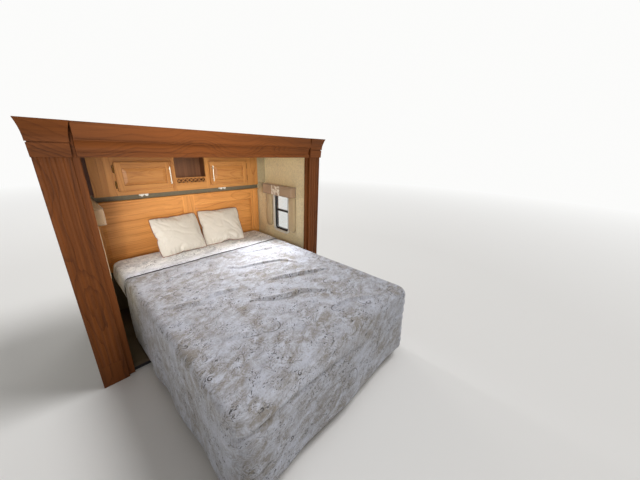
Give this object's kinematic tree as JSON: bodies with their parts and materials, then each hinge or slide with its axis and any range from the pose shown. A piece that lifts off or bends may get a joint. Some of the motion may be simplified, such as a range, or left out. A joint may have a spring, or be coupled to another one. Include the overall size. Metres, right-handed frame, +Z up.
{
  "type": "trailer bedroom slide-out with bed",
  "caption": "Bed slide-out of a fifth wheel trailer: room box with oak fascia, overhead cabinet with hinged doors, side windows, headboard and a made queen bed",
  "frame": {"origin": "On the floor under the middle of the piece's outline; the floor of the room is z = 0", "axes": "X along the fascia, to the right as seen from the room; Y from the bed's foot to the outer wall; Z up"},
  "size_m": [2.196, 2.3074, 1.737],
  "materials": {
    "wall_vinyl": "khaki vinyl wall covering over the box's panels",
    "outer_gelcoat": "white gel coat on the outer wall",
    "trim_aluminium": "bent aluminium edge trim",
    "seal_rubber": "black bulb seal",
    "rack_steel": "zinc plated steel racks",
    "oak": "honey oak with a satin lacquer",
    "oak_dark": "oak board in the headboard and the header",
    "cabinet_board": "brown printed board inside the cabinet",
    "frame_black": "black powder coated window frames",
    "pane_glass": "clear window panes",
    "liner_white": "white liner rings",
    "valance_cloth": "taupe upholstery with a cream inset",
    "leg_cloth": "beige padded cloth",
    "pull_nickel": "brushed nickel pulls",
    "hinge_brass": "antique brass hinges",
    "lamp_white": "white lamp heads",
    "base_wood": "plain stained board",
    "deck_ply": "plywood",
    "mattress_ticking": "white ticking",
    "quilt_print": "grey beige quilt with a small mottled print",
    "cover_print": "cream printed cloth",
    "pillow_ivory": "ivory pillow covers with a soft sheen"
  },
  "bodies": {
    "slide_box": {"floor_panel": "wall_vinyl", "roof_panel": "wall_vinyl", "side_wall_left": "wall_vinyl", "side_wall_right": "wall_vinyl", "outer_wall": "outer_gelcoat", "corner_trim": "trim_aluminium", "bulb_seal": "seal_rubber", "gear_racks": "rack_steel", "side_casings": "oak", "head_casing": "oak", "pilaster_left": "oak", "pilaster_right": "oak", "header": "oak_dark", "corbels": "oak", "window_frame_left": "frame_black", "window_frame_right": "frame_black", "window_glass": "pane_glass", "window_liners": "liner_white", "valance_left": "valance_cloth", "valance_right": "valance_cloth", "valance_legs_left": "leg_cloth", "valance_legs_right": "leg_cloth", "cabinet_carcass": "cabinet_board", "cabinet_face_frame": "oak", "filler_strips": "wall_vinyl", "gallery_rail": "oak", "frame_hinges": "hinge_brass", "headboard_frame": "oak_dark", "headboard_panel_left": "oak_dark", "headboard_panel_right": "oak_dark", "headboard_cap": "oak", "reading_lamps": "lamp_white", "base_sides": "base_wood", "base_ends": "base_wood", "bed_deck": "deck_ply", "mattress": "mattress_ticking", "quilt": "quilt_print", "head_cover": "cover_print", "pillow_left": "pillow_ivory", "pillow_right": "pillow_ivory"},
    "door_left": {"cabinet_door_left": "oak", "door_pull_left": "pull_nickel", "door_hinges_left": "hinge_brass"},
    "door_right": {"cabinet_door_right": "oak", "door_pull_right": "pull_nickel", "door_hinges_right": "hinge_brass"}
  },
  "joints": [
    {"name": "door_left_swing", "type": "hinge", "parent": "slide_box", "child": "door_left", "pos_m": [-0.626, 0.9107, 1.363], "axis": [0, 0, -1], "range_deg": [0, 100]},
    {"name": "door_right_swing", "type": "hinge", "parent": "slide_box", "child": "door_right", "pos_m": [0.626, 0.9107, 1.363], "axis": [0, 0, 1], "range_deg": [0, 100]}
  ]
}
